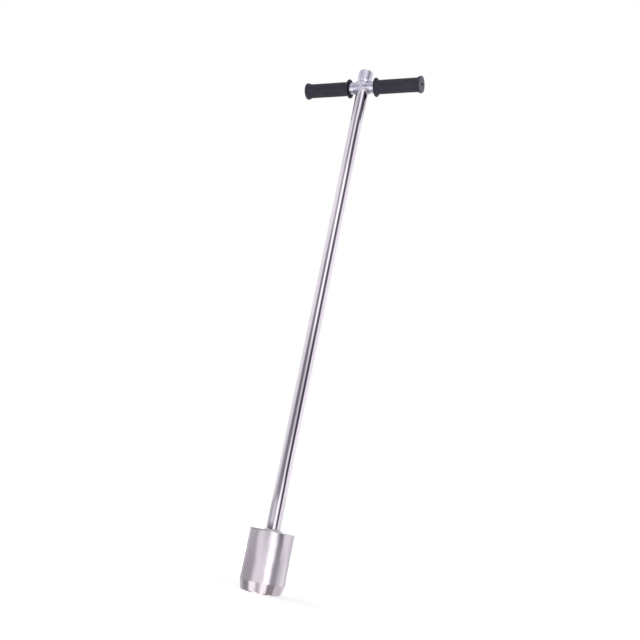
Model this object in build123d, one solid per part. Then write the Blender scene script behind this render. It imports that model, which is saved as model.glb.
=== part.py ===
from build123d import *
import os

# Soil sampler: a T-handled steel rod that drives a sampling head into the ground.
# The head is a barrel that holds a loose sample ring under a cap on the foot of the rod.
# Millimetres. The rod stands along +Z, the crossbar lies along X, the cutting edge is at Z = 0.

# Sample ring, a thin cylinder with a bevelled lower edge
ring_bore = 70.0
ring_wall = 2.0
ring_height = 52.0
ring_bevel_height = 4.0
ring_edge_land = 0.5

# Room between pieces that slide in one another, on the radius, and the rounding of their edges
slip_clearance = 0.3
edge_break = 0.2

# Barrel, from its cutting edge up to its mouth
shoe_height = 26.0
taper_height = 17.2
taper_blend = 0.8
cutting_land = 0.6
edge_bevel_width = 1.0
edge_bevel_height = 1.6
core_relief = 0.4
step_width = 1.2
rim_wall = 1.5
rim_break = 0.3
rim_round_share = 0.8

# Spacer ring between the sample ring and the cap
spacer_height = 12.0
spacer_bearing = 0.6

# Cap, the disc at the foot of the rod that closes the barrel's mouth
cap_thickness = 14.0
cap_chamfer = 1.0
vent_bore = 7.0
vent_offset = 26.5
cap_weld_leg = 4.0
cap_weld_rise = 5.2
cap_weld_hollow = 0.7

# Rod, a polished tube from the cap up to the crossbar
rod_od = 25.0
rod_wall = 2.0
rod_reach = 900.0

# Crossbar, a tube with a rubber grip on each arm
crossbar_od = 25.0
crossbar_wall = 2.0
joint_gap = 0.1
joint_weld_leg = 2.0
joint_weld_lap = 1.0

# Strike head, a solid stub saddled on top of the crossbar
strike_od = 29.2
strike_rise = 23.5
strike_saddle = 5.5
strike_chamfer = 1.2
strike_weld_leg = 2.0

# Grip, a moulded rubber sleeve with a flange at each end and grooves across two opposite sides
grip_inset = 27.2
grip_length = 100.0
grip_wall = 1.95
grip_end_wall = 3.2
grip_end_hole = 6.5
inner_flange_lip = 4.85
inner_flange_thickness = 3.0
inner_flange_round = 1.2
inner_flange_dish = 3.0
inner_flare_length = 4.4
inner_flare_foot = 2.0
outer_flange_lip = 2.45
outer_flange_thickness = 3.6
outer_flange_round = 1.2
outer_flare_length = 6.0
outer_flare_foot = 6.0
groove_count = 15
groove_width = 2.2
groove_depth = 1.2
groove_margin = 3.0
groove_arc = 78.0
groove_turn = 32.0

# Radii and heights that follow from the sizes above
ring_od = ring_bore + 2 * ring_wall
ring_seat_bore = ring_od + 2 * slip_clearance
mouth_bore = ring_seat_bore + 2 * step_width
barrel_od = mouth_bore + 2 * rim_wall
rim_round = rim_round_share * (rim_wall - rim_break)
passage_bore = ring_bore - 2 * core_relief
edge_od = passage_bore + 2 * cutting_land
taper_foot_od = edge_od + 2 * edge_bevel_width
cap_od = mouth_bore - 2 * slip_clearance
spacer_bore = ring_od - 2 * spacer_bearing
ring_top = shoe_height + ring_height
spacer_top = ring_top + spacer_height
barrel_top = spacer_top + cap_thickness
crossbar_height = barrel_top + rod_reach
crossbar_top = crossbar_height + crossbar_od / 2
strike_foot = crossbar_top - strike_saddle
strike_top = crossbar_top + strike_rise
grip_outer_end = grip_inset + grip_length
crossbar_end = grip_outer_end - grip_end_wall
grip_body_od = crossbar_od + 2 * grip_wall
inner_flange_od = grip_body_od + 2 * inner_flange_lip
outer_flange_od = grip_body_od + 2 * outer_flange_lip
inner_flange_end = grip_inset + inner_flange_thickness
outer_flange_start = grip_outer_end - outer_flange_thickness
sleeve_start = inner_flange_end + inner_flare_length
sleeve_end = outer_flange_start - outer_flare_length


def turned(corners, axis):
    """Solid of revolution of a closed outline, given as (place, corner radius) pairs."""
    places = [place for place, _ in corners]
    rounds = [rounding for _, rounding in corners]
    outline = FilletPolyline(*places, radius=rounds, close=True)
    return revolve(make_face(outline), axis)


def upright(radius, bottom, top):
    """Solid cylinder on the rod's axis between two heights."""
    return Pos(0, 0, bottom) * Cylinder(radius, top - bottom, align=(Align.CENTER, Align.CENTER, Align.MIN))


def crosswise(radius, half_length):
    """Solid cylinder on the crossbar's axis."""
    return Pos(0, 0, crossbar_height) * Rot(0, 90, 0) * Cylinder(radius, 2 * half_length)


def sampler_barrel():
    """Open barrel: bevelled edge, taper, ring seat, step for the spacer, and a thin rim round the cap."""
    return turned(
        [
            ((passage_bore / 2, 0, 0), 0),
            ((edge_od / 2, 0, 0), 0),
            ((taper_foot_od / 2, 0, edge_bevel_height), taper_blend),
            ((barrel_od / 2, 0, taper_height), taper_blend),
            ((barrel_od / 2, 0, barrel_top), rim_round),
            ((mouth_bore / 2, 0, barrel_top), rim_break),
            ((mouth_bore / 2, 0, ring_top), 0),
            ((ring_seat_bore / 2, 0, ring_top), edge_break),
            ((ring_seat_bore / 2, 0, shoe_height), 0),
            ((passage_bore / 2, 0, shoe_height), 0),
        ],
        Axis.Z,
    )


def sample_ring():
    """Thin ring that takes the core, bevelled outside at its lower edge, seated on the shoe."""
    return turned(
        [
            ((ring_bore / 2, 0, shoe_height), 0),
            ((ring_bore / 2 + ring_edge_land, 0, shoe_height), 0),
            ((ring_od / 2, 0, shoe_height + ring_bevel_height), 0),
            ((ring_od / 2, 0, ring_top), edge_break),
            ((ring_bore / 2, 0, ring_top), edge_break),
        ],
        Axis.Z,
    )


def spacer_ring():
    """Narrow ring on the barrel's step and on the top edge of the sample ring."""
    return turned(
        [
            ((spacer_bore / 2, 0, ring_top), edge_break),
            ((cap_od / 2, 0, ring_top), edge_break),
            ((cap_od / 2, 0, spacer_top), edge_break),
            ((spacer_bore / 2, 0, spacer_top), edge_break),
        ],
        Axis.Z,
    )


def cap_disc():
    """Disc that closes the mouth, chamfered on the rod's side, with one vent hole."""
    disc = upright(cap_od / 2, spacer_top, barrel_top)
    disc = chamfer(disc.edges().group_by(Axis.Z)[-1], cap_chamfer)
    disc = fillet(disc.edges().group_by(Axis.Z)[0], edge_break)
    vent = Pos(0, vent_offset, 0) * upright(vent_bore / 2, spacer_top, barrel_top)
    return disc - vent


def cap_weld():
    """Fillet weld round the foot of the rod, slightly hollow."""
    corner = Vector(rod_od / 2, 0, barrel_top)
    foot = corner + Vector(cap_weld_leg, 0, 0)
    head = corner + Vector(0, 0, cap_weld_rise)
    inward = Vector(-cap_weld_rise, 0, -cap_weld_leg).normalized()
    middle = (foot + head) / 2 + inward * cap_weld_hollow
    section = make_face([Line(corner, foot), ThreePointArc(foot, middle, head), Line(head, corner)])
    return revolve(section, Axis.Z)


def drive_rod():
    """Tube whose top is coped to sit under the crossbar."""
    tube = upright(rod_od / 2, barrel_top, crossbar_height)
    tube -= upright(rod_od / 2 - rod_wall, barrel_top, crossbar_height)
    return tube - crosswise(crossbar_od / 2 + joint_gap, crossbar_end)


def crossbar():
    """Tube that carries both grips."""
    return crosswise(crossbar_od / 2, crossbar_end) - crosswise(crossbar_od / 2 - crossbar_wall, crossbar_end)


def crossbar_weld():
    """Weld along the coped joint between the rod and the crossbar."""
    top = crossbar_height + joint_weld_lap
    around_rod = upright(rod_od / 2 + joint_weld_leg, crossbar_height - crossbar_od, top)
    bead = around_rod & crosswise(crossbar_od / 2 + joint_weld_leg, crossbar_end)
    bead -= crosswise(crossbar_od / 2, crossbar_end)
    return bead - upright(rod_od / 2, crossbar_height - crossbar_od, crossbar_height)


def strike_head():
    """Solid stub that takes the hammer, cut out below to saddle the crossbar."""
    stub = upright(strike_od / 2, strike_foot, strike_top)
    stub = chamfer(stub.edges().group_by(Axis.Z)[-1], strike_chamfer)
    return stub - crosswise(crossbar_od / 2, crossbar_end)


def strike_head_weld():
    """Weld round the foot of the strike head, on the crossbar."""
    foot = strike_foot - strike_weld_leg
    top = crossbar_top + strike_weld_leg
    bead = upright(strike_od / 2 + strike_weld_leg, foot, top)
    bead &= crosswise(crossbar_od / 2 + strike_weld_leg, crossbar_end)
    return bead - crosswise(crossbar_od / 2, crossbar_end) - upright(strike_od / 2, strike_foot, strike_top)


def grip_grooves():
    """Cross grooves above and below on the right grip, which sits turned forward on the crossbar."""
    first = sleeve_start + groove_margin
    last = sleeve_end - groove_margin
    pitch = (last - first) / (groove_count - 1)
    section = Rectangle(groove_width, 2 * groove_depth)
    comb = [Pos(first + k * pitch, grip_body_od / 2, 0) * section for k in range(groove_count)]
    cuts = []
    for side in (90 + groove_turn, 270 + groove_turn):
        for cut in comb:
            cuts += revolve(Rot(side - groove_arc / 2, 0, 0) * cut, Axis.X, groove_arc).solids()
    return [Pos(0, 0, crossbar_height) * cut for cut in cuts]


def right_grip():
    """Rubber sleeve with flanges, the inner one dished, cross grooves and a small hole in its end."""
    bore = crossbar_od / 2
    sleeve = turned(
        [
            ((grip_inset + inner_flange_dish, bore, 0), 0),
            ((grip_inset, inner_flange_od / 2, 0), inner_flange_round),
            ((inner_flange_end, inner_flange_od / 2, 0), inner_flange_round),
            ((sleeve_start, grip_body_od / 2, 0), inner_flare_foot),
            ((sleeve_end, grip_body_od / 2, 0), outer_flare_foot),
            ((outer_flange_start, outer_flange_od / 2, 0), outer_flange_round),
            ((grip_outer_end, outer_flange_od / 2, 0), outer_flange_round),
            ((grip_outer_end, grip_end_hole / 2, 0), 0),
            ((crossbar_end, grip_end_hole / 2, 0), 0),
            ((crossbar_end, bore, 0), 0),
        ],
        Axis.X,
    )
    return Pos(0, 0, crossbar_height) * sleeve - grip_grooves()


def left_grip():
    """The right grip's mirror image."""
    return mirror(right_grip(), Plane.YZ)


os.makedirs("parts", exist_ok=True)
for piece in (
    sampler_barrel,
    sample_ring,
    spacer_ring,
    cap_disc,
    cap_weld,
    drive_rod,
    crossbar,
    crossbar_weld,
    strike_head,
    strike_head_weld,
    right_grip,
    left_grip,
):
    export_step(piece(), f"parts/{piece.__name__}.step")
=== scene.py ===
from math import acos, atan2, cos, hypot, pi, radians, sin, sqrt, tan

import bmesh
import bpy
from mathutils import Matrix, Vector, noise


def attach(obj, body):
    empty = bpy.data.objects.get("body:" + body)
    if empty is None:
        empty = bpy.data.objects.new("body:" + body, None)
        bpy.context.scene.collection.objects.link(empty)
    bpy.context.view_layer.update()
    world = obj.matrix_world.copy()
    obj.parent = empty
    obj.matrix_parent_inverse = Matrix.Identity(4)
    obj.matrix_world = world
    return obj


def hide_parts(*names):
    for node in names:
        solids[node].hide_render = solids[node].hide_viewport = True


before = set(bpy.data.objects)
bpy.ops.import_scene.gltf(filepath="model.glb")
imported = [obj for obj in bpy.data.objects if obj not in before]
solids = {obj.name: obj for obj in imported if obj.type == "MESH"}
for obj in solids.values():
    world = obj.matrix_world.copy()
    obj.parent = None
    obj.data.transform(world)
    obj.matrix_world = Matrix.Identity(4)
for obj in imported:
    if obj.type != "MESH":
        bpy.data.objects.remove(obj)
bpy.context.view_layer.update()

# ---------------------------------------------------------------------------------------------------
# Sampler barrel
# A thick stainless tube, bored for the ring and turned outside to a taper that ends in the cutting edge.
# The lathe leaves fine rings round it. Being driven into soil rubs the edge bright, and a dark line of painted
# shade lies in the gap inside the rim on its left front side.

barrel_top = 0.104
rim_inside = 0.0385
taper_top = 0.0172
satin_dull = (0.615, 0.562, 0.618, 1)
satin_bright = (0.735, 0.672, 0.738, 1)
stain_grey = (0.42, 0.40, 0.41, 1)
rim_gap_painted_shade = (0.13, 0.12, 0.125, 1)
taper_grey = (0.68, 0.61, 0.61, 1)
rubbed_bright = (0.80, 0.76, 0.77, 1)
bore_brown = (0.56, 0.47, 0.42, 1)


class Shade:
    """One output in a node tree. Sums on it add Math nodes, and node() adds a node of any other kind."""

    def __init__(self, tree, socket=None):
        self.tree = tree
        self.socket = socket

    def node(self, kind, settings=(), inputs=(), output=0):
        made = self.tree.nodes.new(kind)
        for name, value in dict(settings).items():
            setattr(made, name, value)
        for name, value in dict(inputs).items():
            if isinstance(value, Shade):
                self.tree.links.new(value.socket, made.inputs[name])
            else:
                made.inputs[name].default_value = value
        return Shade(self.tree, made.outputs[output] if made.outputs else None)

    def maths(self, operation, *terms):
        return self.node("ShaderNodeMath", {"operation": operation}, enumerate(terms))

    def vector(self, operation, *terms, output=0):
        return self.node("ShaderNodeVectorMath", {"operation": operation}, enumerate(terms), output)

    def along(self, axis):
        """How far this place lies along an axis, times the axis's length."""
        return self.vector("DOT_PRODUCT", self, axis, output="Value")

    def length(self):
        """How far this place lies from the origin."""
        return self.vector("LENGTH", self, output="Value")

    def fade(self, low, high):
        """0 up to low, 1 from high on, and a smooth rise between them. The rise turns round where low > high."""
        limits = {"Value": self, "From Min": low, "From Max": high}
        return self.node("ShaderNodeMapRange", {"interpolation_type": "SMOOTHSTEP"}, limits)

    def between(self, first, second):
        """The colour that goes from first to second as this value goes from 0 to 1."""
        return self.node("ShaderNodeMix", {"data_type": "RGBA"}, {0: self, 6: first, 7: second}, 2)

    def mottle(self, place, stretch, detail=3.0, roughness=0.55):
        """Soft noise over a place, with so many spots to the metre along each axis."""
        spots = self.vector("MULTIPLY", place, stretch)
        inputs = {"Vector": spots, "Scale": 1.0, "Detail": detail, "Roughness": roughness}
        return self.node("ShaderNodeTexNoise", inputs=inputs)

    def bump(self, strength, distance, height, **more):
        """A normal that follows a height, in metres."""
        inputs = {"Strength": strength, "Distance": distance, "Height": height, **more}
        return self.node("ShaderNodeBump", inputs=inputs)

    def __add__(self, other):
        return self.maths("ADD", self, other)

    def __sub__(self, other):
        return self.maths("SUBTRACT", self, other)

    def __rsub__(self, other):
        return self.maths("SUBTRACT", other, self)

    def __mul__(self, other):
        return self.maths("MULTIPLY", self, other)

    __radd__ = __add__
    __rmul__ = __mul__


def bare_finish(name):
    """A material with no nodes yet, and the start of its node tree."""
    material = bpy.data.materials.new(name)
    material.use_nodes = True
    material.node_tree.nodes.clear()
    return material, Shade(material.node_tree)


def coat(start, sockets):
    """Puts a surface with these sockets on the material."""
    skin = start.node("ShaderNodeBsdfPrincipled", inputs=sockets)
    start.node("ShaderNodeOutputMaterial", inputs={"Surface": skin})


def turned_steel(name, dull, bright, roughness, warm_bore=0.0):
    """Stainless steel off the lathe: rings of tool marks, smears and stains, a line of painted shade in the gap
    inside the rim, and a bore browned by soil.
    """
    material, start = bare_finish(name)
    place = start.node("ShaderNodeTexCoord", output="Object")
    height = place.along((0, 0, 1))
    radius = start.vector("MULTIPLY", place, (1, 1, 0)).length()
    across = start.node("ShaderNodeCombineXYZ", inputs={"X": radius, "Y": height})
    fine_rings = start.mottle(across, (5200, 5200, 0), 2.0)
    broad_rings = start.mottle(across, (420, 420, 0), 2.0)
    smears = start.mottle(place, (34, 34, 11))
    stains = start.mottle(place, (120, 120, 22), 4.0, 0.65).fade(0.52, 0.80)
    worn = height.fade(0.003, 0.0005)
    on_taper = height.fade(taper_top + 0.0008, taper_top - 0.0008)
    near_side = place.along((-25, -14, 0)).fade(0.2, 0.6)
    on_top = height.fade(barrel_top - 0.0021, barrel_top - 0.0008)
    on_rim = radius.fade(rim_inside - 0.0002, rim_inside + 0.0005)
    tone = smears.fade(0.3, 0.7) * 0.6 + broad_rings * 0.4
    colour = tone.between(dull, bright)
    colour = (stains * 0.24).between(colour, stain_grey)
    # Painted shade: a dark line on the rim's inner edge, in the gap by the cap, on the left front side only
    colour = (on_top * on_rim * near_side * 0.8).between(colour, rim_gap_painted_shade)
    colour = (on_taper * 0.4).between(colour, taper_grey)
    colour = (worn * 0.5).between(colour, rubbed_bright)
    if warm_bore:
        inside = radius.fade(warm_bore, warm_bore - 0.0006)
        colour = (inside * 0.55).between(colour, bore_brown)
    waves = start.mottle(place, (62, 62, 45), 2.0) * 0.10 - 0.05
    round_about = start.vector("NORMALIZE", start.vector("CROSS_PRODUCT", (0, 0, 1), place))
    outward = start.node("ShaderNodeNewGeometry", output="Normal")
    wavy = start.vector("NORMALIZE", start.vector("ADD", outward, start.vector("MULTIPLY", round_about, waves)))
    sockets = {
        "Base Color": colour,
        "Metallic": 1.0,
        "Roughness": roughness + 0.04 * smears + 0.03 * broad_rings + 0.06 * stains,
        "Anisotropic": 0.6,
        "Anisotropic Rotation": 0.25,
        "Normal": start.bump(0.25, 0.00004, fine_rings + broad_rings * 0.8, Normal=wavy),
    }
    coat(start, sockets)
    return material


satin_steel = turned_steel("satin_steel", satin_dull, satin_bright, roughness=0.035)
solids["sampler_barrel"].material_slots[0].material = satin_steel

# ---------------------------------------------------------------------------------------------------
# Sample ring and spacer ring
# Two loose rings of thin stainless tube, parted off and turned, that drop into the barrel from above.
# They are handled more than the barrel and brighter, and the bore that takes the soil is faintly brown.

ring_dull = (0.66, 0.62, 0.64, 1)
ring_bright = (0.80, 0.76, 0.78, 1)
brown_within = 0.0358

ring_steel = turned_steel("ring_steel", ring_dull, ring_bright, roughness=0.12, warm_bore=brown_within)
for node in ("sample_ring", "spacer_ring"):
    solids[node].material_slots[0].material = ring_steel

# ---------------------------------------------------------------------------------------------------
# Cap
# A thick disc faced on the lathe, with a vent hole drilled through it, that closes the barrel's mouth.
# It has the barrel's finish.

solids["cap_disc"].material_slots[0].material = satin_steel

# ---------------------------------------------------------------------------------------------------
# Weld at the foot of the rod
# One pass laid by hand round the rod on the cap, a low round bead of overlapping scallops. It is left as welded,
# bright on the crests with painted shade in the gaps between them, and this low down soil has darkened it.

weld_gap_painted_shade = (0.33, 0.32, 0.38, 1)
weld_crest = (0.80, 0.785, 0.90, 1)
soiled_gap_painted_shade = (0.15, 0.14, 0.137, 1)
soiled_crest = (0.50, 0.48, 0.475, 1)
soot_grey = (0.30, 0.285, 0.31, 1)

weld_metal, start = bare_finish("weld_metal")
place = start.node("ShaderNodeTexCoord", output="Object")
crest = start.node("ShaderNodeAttribute", {"attribute_name": "crest"}, output="Fac")
ripples = start.mottle(place, (900, 900, 900), 3.0)
soot = start.mottle(place, (260, 260, 260), 4.0, 0.6).fade(0.55, 0.75)
soiled = place.along((0, 0, 1)).fade(0.3, 0.2)
# Painted shade: the gaps between the scallops are made darker than the crests
clean_colour = crest.fade(0.2, 0.8).between(weld_gap_painted_shade, weld_crest)
soiled_colour = crest.fade(0.2, 0.8).between(soiled_gap_painted_shade, soiled_crest)
weld_colour = (soiled * 0.75).between(clean_colour, soiled_colour)
weld_sockets = {
    "Base Color": (soot * 0.35).between(weld_colour, soot_grey),
    "Metallic": 1.0,
    "Roughness": 0.38 - 0.14 * crest + 0.08 * ripples + 0.15 * soot - 0.10 * soiled,
    "Normal": start.bump(0.25, 0.0001, ripples),
}
coat(start, weld_sockets)


def piece(name, shape, material, body, slot, *nodes):
    """Puts a finished shape in the scene, in the place of these nodes."""
    mesh = bpy.data.meshes.new(name)
    shape.to_mesh(mesh)
    shape.free()
    mesh.materials.append(material)
    mesh.shade_smooth()
    made = bpy.data.objects.new(name, mesh)
    bpy.context.scene.collection.objects.link(made)
    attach(made, body)
    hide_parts(*nodes)
    return made


def lay_scallops(shape, rise, count, lump, seed):
    """Pushes a bead out into overlapping scallops. rise gives how far up the bead a point lies, from -1 to 1."""
    crests = shape.verts.layers.float.new("crest")
    shape.normal_update()
    moves = []
    for vert in shape.verts:
        turn = atan2(vert.co.y, vert.co.x)
        sway = noise.noise((2.2 * cos(turn), 2.2 * sin(turn), seed))
        step = count * turn / (2 * pi) + 0.45 * sway + 0.3 * rise(vert) ** 2
        vert[crests] = sqrt(abs(sin(pi * step)))
        size = 1 + 0.5 * noise.noise((4 * cos(turn), 4 * sin(turn), seed + 7))
        grain = noise.noise(vert.co * 900)
        moves.append(vert.normal * lump * ((vert[crests] - 0.6) * size + 0.18 * grain))
    for vert, move in zip(shape.verts, moves):
        vert.co += move


def closed_wire(shape, verts):
    """Joins these points by edges, and the last one to the first."""
    for first, second in zip(verts, verts[1:] + verts[:1]):
        shape.edges.new((first, second))


def turn_once(shape, axis, steps):
    """Turns everything in the shape once round an axis through the origin, and closes the seam."""
    section = shape.verts[:] + shape.edges[:]
    bmesh.ops.spin(shape, geom=section, cent=(0, 0, 0), axis=axis, angle=2 * pi, steps=steps, use_merge=True)
    bmesh.ops.remove_doubles(shape, verts=shape.verts, dist=1e-6)


def weld_ring(shape, middle, count, lump, seed):
    """Turns a bead's section round the rod's axis and lays scallops over it."""
    half_height = 0.0025
    turn_once(shape, (0, 0, 1), 20 * count)
    bmesh.ops.recalc_face_normals(shape, faces=shape.faces)
    lay_scallops(shape, lambda vert: (vert.co.z - middle) / half_height, count, lump, seed)


rod_radius = 0.0125
cap_top = barrel_top
foot_reach = 0.0040
foot_rise = 0.0036
foot_lip = 0.0001
foot_swell = 0.00028
foot_steps = 9
foot_below = 0.0002
foot_root = 0.0006

foot_section = [(0.0, -foot_below), (foot_reach, -foot_below), (foot_reach, foot_lip)]
for k in range(1, foot_steps):
    share = k / foot_steps
    swell = foot_swell * sin(pi * share)
    foot_section.append((foot_reach * (1 - share) + swell, foot_rise * share + swell))
foot_section += [(0.0, foot_rise), (-foot_root, foot_rise), (-foot_root, -foot_below)]

foot_bead = bmesh.new()
closed_wire(foot_bead, [foot_bead.verts.new((rod_radius + out, 0, cap_top + up)) for out, up in foot_section])
weld_ring(foot_bead, middle=cap_top + 0.002, count=18, lump=0.0005, seed=3.0)
piece("cap_weld_bead", foot_bead, weld_metal, "handle", "weld_metal", "cap_weld")

# ---------------------------------------------------------------------------------------------------
# Drive rod
# Drawn stainless tube, ground and polished to a mirror, its top coped to fit under the crossbar.
# Hands leave a faint haze on it and the grinding wheel hair lines. A dark patch at the foot, strongest on the
# front, is painted shade and dark reflection by the weld.

rod_hazy = (0.68, 0.632, 0.694, 1)
rod_clear = (0.76, 0.708, 0.773, 1)
rod_foot_painted_shade = (0.13, 0.115, 0.13, 1)
rod_scuff = (0.50, 0.47, 0.50, 1)

polished_steel, start = bare_finish("polished_steel")
place = start.node("ShaderNodeTexCoord", output="Object")
haze = start.mottle(place, (60, 60, 9), 3.0)
hair_lines = start.mottle(place, (300, 300, 9000), 2.0)
scuffs = start.mottle(place, (420, 420, 40), 3.0, 0.7).fade(0.62, 0.78)
# Painted shade and dark reflection: a dark band at the rod's foot, faint all round and strong on the front
rod_front = place.along((-2, -80, 0)).fade(0.90, 0.98)
foot_painted_shade = place.along((0, 0, 1)).fade(cap_top + 0.019, cap_top + 0.005) * (0.08 + 0.92 * rod_front)
rod_colour = haze.fade(0.3, 0.7).between(rod_hazy, rod_clear)
rod_colour = (foot_painted_shade * 0.9).between(rod_colour, rod_foot_painted_shade)
rod_sockets = {
    "Base Color": (scuffs * 0.25).between(rod_colour, rod_scuff),
    "Metallic": 1.0,
    "Roughness": 0.03 + 0.04 * haze + 0.10 * scuffs,
    "Normal": start.bump(0.06, 0.00002, hair_lines),
}
coat(start, rod_sockets)
solids["drive_rod"].material_slots[0].material = polished_steel

# ---------------------------------------------------------------------------------------------------
# Crossbar and strike head
# The crossbar is the rod's tube, the strike head a short solid bar saddled on it to take the hammer.
# Both are left as they come from the mill: dull, mottled and pitted, and darkened with painted shade in the
# corner by the rod.

bar_height = 1.004
mill_dark = (0.53, 0.517, 0.62, 1)
mill_light = (0.73, 0.712, 0.85, 1)
corner_painted_shade = (0.16, 0.15, 0.17, 1)
pit_grey = (0.32, 0.30, 0.33, 1)

rough_steel, start = bare_finish("rough_steel")
place = start.node("ShaderNodeTexCoord", output="Object")
clouds = start.mottle(place, (130, 130, 130), 4.0, 0.6)
pits = start.mottle(place, (900, 900, 900), 3.0, 0.6).fade(0.56, 0.70)
dents = start.mottle(place, (260, 260, 260), 2.0)
# Painted shade on the bar's underside in the corner beside the rod
beside_rod = start.maths("ABSOLUTE", place.along((1, 0, 0))).fade(rod_radius + 0.0070, rod_radius + 0.0025)
below_bar = place.along((0, 0, 1)).fade(bar_height - 0.0065, bar_height - 0.0095)
rough_colour = clouds.fade(0.3, 0.7).between(mill_dark, mill_light)
rough_colour = (beside_rod * below_bar * 0.7).between(rough_colour, corner_painted_shade)
rough_sockets = {
    "Base Color": (pits * 0.35).between(rough_colour, pit_grey),
    "Metallic": 1.0,
    "Roughness": 0.13 + 0.14 * clouds + 0.15 * pits,
    "Normal": start.bump(0.5, 0.0003, dents + clouds * 0.6 - pits * 0.2),
}
coat(start, rough_sockets)
for node in ("crossbar", "strike_head"):
    solids[node].material_slots[0].material = rough_steel

# ---------------------------------------------------------------------------------------------------
# Welds at the crossbar and at the strike head
# Round beads laid by hand along both joints: an inverted V up each side of the rod, and a saddle round
# the stub's foot. They are left as welded.

bar_radius = 0.0125
joint_thickness = 0.0016
joint_proud = 0.0004
joint_below = 0.0003
apex_swell = 0.6
apex_drop = 0.0024
apex_round = 0.004
apex_level = 0.0632

joint_bead = bmesh.new()
bmesh.ops.create_circle(joint_bead, segments=12, radius=joint_thickness)
bmesh.ops.rotate(joint_bead, cent=(0, 0, 0), matrix=Matrix.Rotation(pi / 2, 3, "X"), verts=joint_bead.verts)
joint_middle = (rod_radius + joint_proud, 0, bar_height - joint_below)
bmesh.ops.translate(joint_bead, vec=joint_middle, verts=joint_bead.verts)
weld_ring(joint_bead, middle=bar_height, count=18, lump=0.0004, seed=11.0)
for vert in joint_bead.verts:
    turn = atan2(vert.co.y, vert.co.x)
    apex = sin(turn) ** 4
    vert.co.z += (vert.co.z - bar_height) * apex_swell * apex - apex_drop * apex
    vert.co.z -= (bar_radius + joint_proud) * (sqrt(cos(turn) ** 2 + apex_round) - apex_level)
piece("crossbar_weld_bead", joint_bead, weld_metal, "handle", "weld_metal", "crossbar_weld")

stub_radius = 0.0146
collar_top = 1.0184
collar_radius = 0.0158
collar_reach = 0.01235
collar_steps = 10
collar_sunk = 0.0002
collar_sway = 0.0006
collar_swell = 0.0006
collar_front_swell = 0.0014
collar_root = Vector((0.0025, 0.0010))

# The wire is a ladder of points up the collar's outside and two behind it, each with its share of the way
collar_bead = bmesh.new()
shares = collar_bead.verts.layers.float.new("share")
ladder = [collar_bead.verts.new((stub_radius, 0, k / 1000)) for k in range(collar_steps + 3)]
for k, vert in enumerate(ladder):
    vert[shares] = k / collar_steps
closed_wire(collar_bead, ladder)
turn_once(collar_bead, (0, 0, 1), 280)
for vert in collar_bead.verts:
    turn = atan2(vert.co.y, vert.co.x)
    lean = abs(sin(turn))
    sway = noise.noise((3 * cos(turn), 3 * sin(turn), 5.0))
    top = Vector((stub_radius - collar_sunk, collar_top + collar_sway * sway))
    low_radius = min(collar_radius, collar_reach / max(lean, 0.01))
    low_height = bar_height + sqrt(bar_radius ** 2 - (low_radius * lean) ** 2) - collar_sunk
    low = Vector((low_radius, low_height))
    front = min(max((lean - 0.6) / 0.3, 0), 1)
    share = vert[shares]
    if share < 1.01:
        swell = (collar_swell + collar_front_swell * front) * sin(pi * share)
        spot = top.lerp(low, share) + Vector((swell, 0))
    else:
        spot = top.lerp(low, 0.9 if share < 1.15 else 0.1) - collar_root
    vert.co = Vector((spot.x * cos(turn), spot.x * sin(turn), spot.y))
bmesh.ops.recalc_face_normals(collar_bead, faces=collar_bead.faces)
lay_scallops(collar_bead, lambda vert: 2 * vert[shares] - 1, count=15, lump=0.0005, seed=23.0)
piece("strike_head_weld_bead", collar_bead, weld_metal, "handle", "weld_metal", "strike_head_weld")

# ---------------------------------------------------------------------------------------------------
# Grips
# Moulded black rubber sleeves pushed over the ends of the crossbar, with a broad dished flange towards the rod
# and a small one at the end. Cross ribs above and below give hold, and the sides are smooth. The grooves, the
# dish and the end hole carry painted shade, and the end faces painted light.

grip_start = 0.0272
grip_end = 0.1272
bar_end = 0.1240
sleeve_radius = 0.01445
sleeve_start = 0.0346
sleeve_end = 0.1176
dish_bottom = 0.0320
inner_flange = 0.0193
inner_flange_back = 0.0302
outer_flange = 0.0169
outer_flange_back = 0.1236
flange_round = 0.0012
end_hole = 0.00325
groove_count = 15
groove_depth = 0.0012
groove_half = 0.0016
groove_wall = 0.0003
groove_first = 0.0376
groove_pitch = 0.0055
groove_arc = radians(39)
groove_runout = radians(5)
groove_turn = radians(32)
rubber_dark = (0.0215, 0.0205, 0.031, 1)
rubber_light = (0.030, 0.0288, 0.043, 1)
rubber_dust = (0.055, 0.053, 0.070, 1)
rubber_painted_shade = (0.009, 0.009, 0.013, 1)
end_face_painted_light = (0.115, 0.112, 0.135, 1)
hole_painted_shade = (0.006, 0.006, 0.007, 1)

grip_rubber, start = bare_finish("grip_rubber")
place = start.node("ShaderNodeTexCoord", output="Object")
from_bar = start.vector("SUBTRACT", place, (0, 0, bar_height))
along = start.maths("ABSOLUTE", from_bar.along((1, 0, 0)))
reach = start.vector("MULTIPLY", from_bar, (0, 1, 1)).length()
across = from_bar.along((0, -sin(groove_turn), cos(groove_turn)))
patches = start.mottle(place, (60, 130, 130), 4.0)
grain = start.mottle(place, (1600, 1600, 1600), 3.0, 0.6)
dust = start.mottle(place, (320, 320, 320), 4.0, 0.65).fade(0.5, 0.75)
parting = across.fade(-0.0004, -0.0001) * across.fade(0.0004, 0.0001)
past_flange = along.fade(sleeve_start - 0.0001, sleeve_start + 0.0009)
before_end = along.fade(bar_end - 0.0010, bar_end - 0.0015)
in_groove = reach.fade(sleeve_radius - 0.0001, sleeve_radius - 0.0006) * past_flange * before_end
in_dish = along.fade(grip_start + 0.0063, grip_start + 0.0028)
in_hole = reach.fade(end_hole + 0.00135, end_hole + 0.00055)
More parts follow.
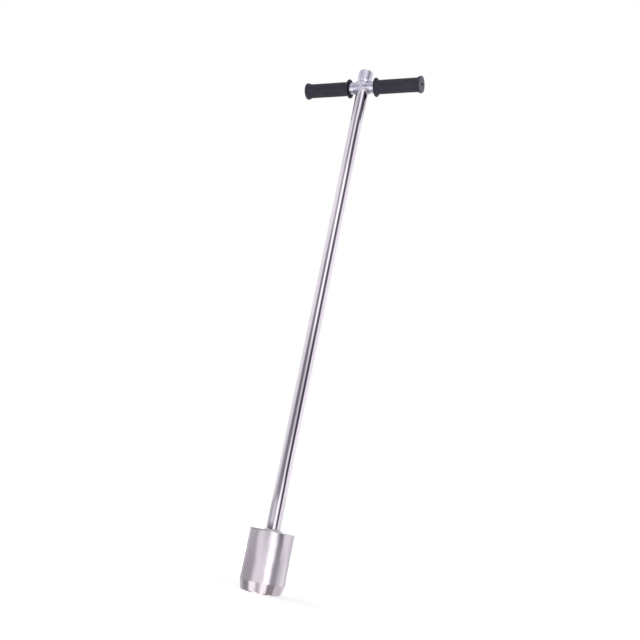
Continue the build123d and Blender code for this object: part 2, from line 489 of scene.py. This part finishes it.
# Painted light: the end faces are made lighter, standing in for light falling on them
end_face_light_mask = along.fade(grip_end - 0.0027, grip_end - 0.0004) - in_hole
rubber_colour = patches.fade(0.3, 0.7).between(rubber_dark, rubber_light)
rubber_colour = (dust * 0.25).between(rubber_colour, rubber_dust)
# Painted shade in the grooves and in the dish of the inner flange
rubber_colour = (in_groove * 0.5 + in_dish * 0.35).between(rubber_colour, rubber_painted_shade)
rubber_colour = (end_face_light_mask * 0.7).between(rubber_colour, end_face_painted_light)
rubber_sockets = {
    # Painted shade: the end hole and a ring round it are made almost black
    "Base Color": in_hole.between(rubber_colour, hole_painted_shade),
    "Roughness": 0.48 + 0.12 * patches + 0.10 * dust,
    "Specular IOR Level": 0.26,
    "Normal": start.bump(0.3, 0.0001, grain + parting * 2.0),
}
coat(start, rubber_sockets)

# Outline of the right grip, from the bore's inner end round the outside: (along, radius, rounding)
grip_outline = [
    (dish_bottom, bar_radius, 0),
    (grip_start, inner_flange, flange_round),
    (inner_flange_back, inner_flange, flange_round),
    (sleeve_start, sleeve_radius, 0.0020),
    (sleeve_end, sleeve_radius, 0.0060),
    (outer_flange_back, outer_flange, flange_round),
    (grip_end, outer_flange, flange_round),
    (grip_end, end_hole, 0.0004),
    (bar_end, end_hole, 0),
    (bar_end, bar_radius, 0),
]


def rounded(outline, segments):
    """A closed wire along an outline in the plane of the crossbar's axis, with its corners rounded."""
    shape = bmesh.new()
    verts = [shape.verts.new((along, 0, radius)) for along, radius, _ in outline]
    closed_wire(shape, verts)
    for vert, (_, _, rounding) in zip(verts, outline):
        if rounding:
            arms = [edge.other_vert(vert).co - vert.co for edge in vert.link_edges]
            setback = rounding * tan((pi - arms[0].angle(arms[1])) / 2)
            bmesh.ops.bevel(
                shape, geom=[vert], affect="VERTICES", offset=setback, offset_type="OFFSET",
                segments=segments, profile=0.5, material=-1,
            )
    return shape


def grip(side):
    """One grip: the outline turned round the crossbar, with grooves pressed in above and below."""
    shape = rounded(grip_outline, 5)
    outside = [edge for edge in shape.edges if all(vert.co.z > bar_radius + 0.001 for vert in edge.verts)]
    edge = max(outside, key=lambda edge: edge.calc_length())
    inner, outer = sorted(edge.verts, key=lambda vert: vert.co.x)
    for k in range(groove_count):
        middle = groove_first + k * groove_pitch
        for offset in (-groove_half - groove_wall, -groove_half, groove_half, groove_half + groove_wall):
            share = (middle + offset - inner.co.x) / (outer.co.x - inner.co.x)
            edge, inner = bmesh.utils.edge_split(edge, inner, share)
            edge = next(e for e in inner.link_edges if outer in e.verts)
    turn_once(shape, (1, 0, 0), 120)
    for vert in shape.verts:
        over = hypot(vert.co.y, vert.co.z)
        nearest = round((vert.co.x - groove_first) / groove_pitch)
        off_middle = abs(vert.co.x - groove_first - nearest * groove_pitch)
        if (
            abs(over - sleeve_radius) < 1e-5
            and off_middle < groove_half + groove_wall / 2
            and 0 <= nearest < groove_count
        ):
            above = vert.co.z * cos(groove_turn) - vert.co.y * sin(groove_turn)
            lean = acos(min(abs(above) / over, 1))
            sink = groove_depth * min(max((groove_arc - lean) / groove_runout, 0), 1)
            vert.co.y *= 1 - sink / over
            vert.co.z *= 1 - sink / over
    bmesh.ops.scale(shape, vec=(side, 1, 1), verts=shape.verts)
    bmesh.ops.translate(shape, vec=(0, 0, bar_height), verts=shape.verts)
    bmesh.ops.recalc_face_normals(shape, faces=shape.faces)
    return shape


for name, node, side in (("rubber_grip_right", "right_grip", 1), ("rubber_grip_left", "left_grip", -1)):
    made = piece(name, grip(side), grip_rubber, "handle", "grip_rubber", node)
    made.data.set_sharp_from_angle(angle=radians(50))

# ---------------------------------------------------------------------------------------------------
# Stage
# A white floor without an edge, a white studio with grey cards that the steel mirrors as stripes, and
# four soft lamps.

scene = bpy.context.scene
scene.view_settings.view_transform = "Standard"

floor_shape = bmesh.new()
bmesh.ops.create_circle(floor_shape, cap_ends=True, segments=96, radius=8.0)
floor_mesh = bpy.data.meshes.new("floor")
floor_shape.to_mesh(floor_mesh)
floor_shape.free()
floor = bpy.data.objects.new("floor", floor_mesh)
scene.collection.objects.link(floor)
floor.visible_glossy = False
floor_finish, start = bare_finish("floor")
seen = start.node("ShaderNodeLightPath", output="Is Camera Ray")
far = start.node("ShaderNodeTexCoord", output="Object").length().fade(0.15, 0.9)
glow = start.node("ShaderNodeEmission", inputs={"Color": (1, 1, 1, 1), "Strength": seen * (0.45 + far * 0.45)})
chalk = start.node("ShaderNodeBsdfDiffuse", inputs={"Color": (0.78, 0.78, 0.78, 1)})
lit_chalk = start.node("ShaderNodeAddShader", inputs={0: glow, 1: chalk})
start.node("ShaderNodeOutputMaterial", inputs={"Surface": lit_chalk})
floor_mesh.materials.append(floor_finish)

scene.world = bpy.data.worlds.new("studio")
scene.world.use_nodes = True
scene.world.node_tree.nodes.clear()
sky = Shade(scene.world.node_tree)
direction = sky.node("ShaderNodeTexCoord", output="Generated")
ahead = direction.along((0.442, -0.897, 0))
aside = direction.along((0.897, 0.442, 0))
bearing = sky.maths("ARCTAN2", aside, ahead) * (180 / pi)
height = direction.along((0, 0, 1))


def ring_of_cards(white, hung):
    """The studio's wall at one height: white, with soft-edged cards hung on it between two bearings."""
    wall = (white, white, white, 1)
    for left, right, soft, grey in hung:
        width = bearing.fade(left - soft, left + soft) * bearing.fade(right + soft, right - soft)
        wall = width.between(wall, (grey + 0.006, grey, grey + 0.02, 1))
    return wall


# Cards are (left, right, soft, grey), with bearings in degrees from the camera's side. The first ring is the
# lowest, which the taper mirrors. Each one after it is (from, up to, white, cards) and takes over between
# two heights: the barrel mirrors the next two, the rod those above from its foot up, the stub the highest.
studio = ring_of_cards(0.92, [
    (-200, -120, 14, 0.71), (-126, -80, 9, 0.37), (-72, -38, 9, 1.42), (-29, -16, 6, 0.62), (-4, 28, 7, 1.42),
    (30, 76, 7, 0.34), (74, 140, 9, 0.75), (140, 200, 9, 1.0),
])
rings = [
    (-0.22, -0.13, 1.03, [
        (-200, -135, 9, 0.60), (-136, -59, 16, 0.50), (1, 33, 6, 1.58), (60, 94, 14, 0.70), (38, 70, 10, 0.42),
        (128, 200, 9, 0.75),
    ]),
    (-0.045, -0.025, 1.12, [
        (-200, -135, 9, 0.72), (-136, -70, 12, 0.60), (-36, -10, 9, 0.84), (0, 30, 6, 1.58), (37, 68, 9, 0.40),
        (110, 200, 12, 0.84),
    ]),
    (-0.0135, -0.005, 0.76, [
        (-138, -75, 16, 0.58), (-62, -34, 12, 0.90), (-34, -14, 8, 0.66), (-8, 40, 9, 1.55), (60, 110, 12, 1.06),
        (110, 200, 12, 0.94), (25, 60, 10, 0.10),
    ]),
    (0.021, 0.037, 1.0, [(-85, 30, 44, 0.31), (-5, 40, 9, 1.38), (60, 200, 12, 1.15), (23, 61, 10, 0.08)]),
    (0.045, 0.06, 1.0, [(-76, 30, 36, 0.27), (-9, 40, 9, 1.15), (57, 200, 12, 1.16), (17, 57, 10, 0.07)]),
    (0.085, 0.13, 1.0, [(-64, 30, 20, 0.22), (-13, 40, 11, 0.76), (58, 200, 12, 1.16), (18, 60, 11, 0.06)]),
    (0.19, 0.27, 1.0, [(-57, 30, 15, 0.26), (-17, 40, 10, 1.45), (58, 200, 12, 1.14), (16, 60, 12, 0.10)]),
    (0.32, 0.39, 1.05, [(-53, 30, 14, 0.47), (-19, 40, 10, 1.55), (58, 200, 13, 1.14), (16, 60, 12, 0.12)]),
    (0.43, 0.465, 0.94, [
        (-82, -56, 14, 1.1), (-50, 30, 14, 0.32), (-20, 40, 11, 1.36), (60, 200, 28, 1.08), (7, 58, 13, 0.10),
    ]),
    (0.492, 0.511, 0.92, [
        (-140, -92, 14, 0.50), (-88, -52, 12, 0.82), (-50, -10, 12, 0.36), (-12, 40, 10, 1.40),
        (84, 150, 14, 0.66), (22, 90, 15, 0.08),
    ]),
    (0.520, 0.532, 1.0, [(-94, -58, 10, 0.50), (-52, 34, 11, 1.27), (42, 73, 10, 0.42)]),
]
for low, high, white, hung in rings:
    studio = height.fade(low, high).between(studio, ring_of_cards(white, hung))

# Two more soft cards, which the crossbar's underside mirrors: one low on the left, one just past underneath
low_down = height.fade(-0.42, -0.36) * height.fade(-0.12, -0.20)
low_left = low_down * bearing.fade(-88, -74) * bearing.fade(-26, -38)
studio = (low_left * 0.6).between(studio, (0.36, 0.36, 0.37, 1))
underneath = height.fade(-0.70, -0.80) * ahead.fade(-0.60, -0.45) * ahead.fade(-0.02, -0.14)
studio = underneath.between(studio, (0.30, 0.30, 0.31, 1))

ambient = sky.node("ShaderNodeBackground", inputs={"Color": (0.98, 0.98, 1.0, 1), "Strength": 0.42})
mirrored = sky.node("ShaderNodeBackground", inputs={"Color": studio, "Strength": 1.0})
backdrop = sky.node("ShaderNodeBackground", inputs={"Color": (1, 1, 1, 1), "Strength": 1.0})
in_mirror = sky.node("ShaderNodeLightPath", output="Is Glossy Ray")
in_view = sky.node("ShaderNodeLightPath", output="Is Camera Ray")
around = sky.node("ShaderNodeMixShader", inputs={0: in_mirror, 1: ambient, 2: mirrored})
whole = sky.node("ShaderNodeMixShader", inputs={0: in_view, 1: around, 2: backdrop})
sky.node("ShaderNodeOutputWorld", inputs={"Surface": whole})


def soft_lamp(name, place, target, size, power):
    """A square softbox aimed at a point, which lights but isn't mirrored."""
    light = bpy.data.lights.new(name, "AREA")
    light.size = size
    light.energy = power
    lamp = bpy.data.objects.new(name, light)
    lamp.location = place
    lamp.rotation_euler = (Vector(target) - Vector(place)).to_track_quat("-Z", "Y").to_euler()
    lamp.visible_glossy = False
    scene.collection.objects.link(lamp)


soft_lamp("softbox_front", (0.95, -0.75, 0.15), target=(0, 0, 1.0), size=0.5, power=22)
soft_lamp("softbox_back", (-0.8, 1.8, 0.3), target=(0, 0, 0.9), size=1.2, power=20)
soft_lamp("softbox_high", (-1.4, -1.2, 2.4), target=(0, 0, 0.4), size=1.6, power=9)
soft_lamp("softbox_side", (-1.5, 0.3, 0.6), target=(0, 0, 1.0), size=1.0, power=12)

lens = bpy.data.cameras.new("camera")
lens.sensor_width = 36
lens.lens = 43.683
camera = bpy.data.objects.new("camera", lens)
camera.location = (0.62962, -1.27809, 0.11965)
camera.rotation_euler = (radians(105.2268), radians(-11.0529), radians(22.9279))
scene.collection.objects.link(camera)
scene.camera = camera

bpy.context.view_layer.update()
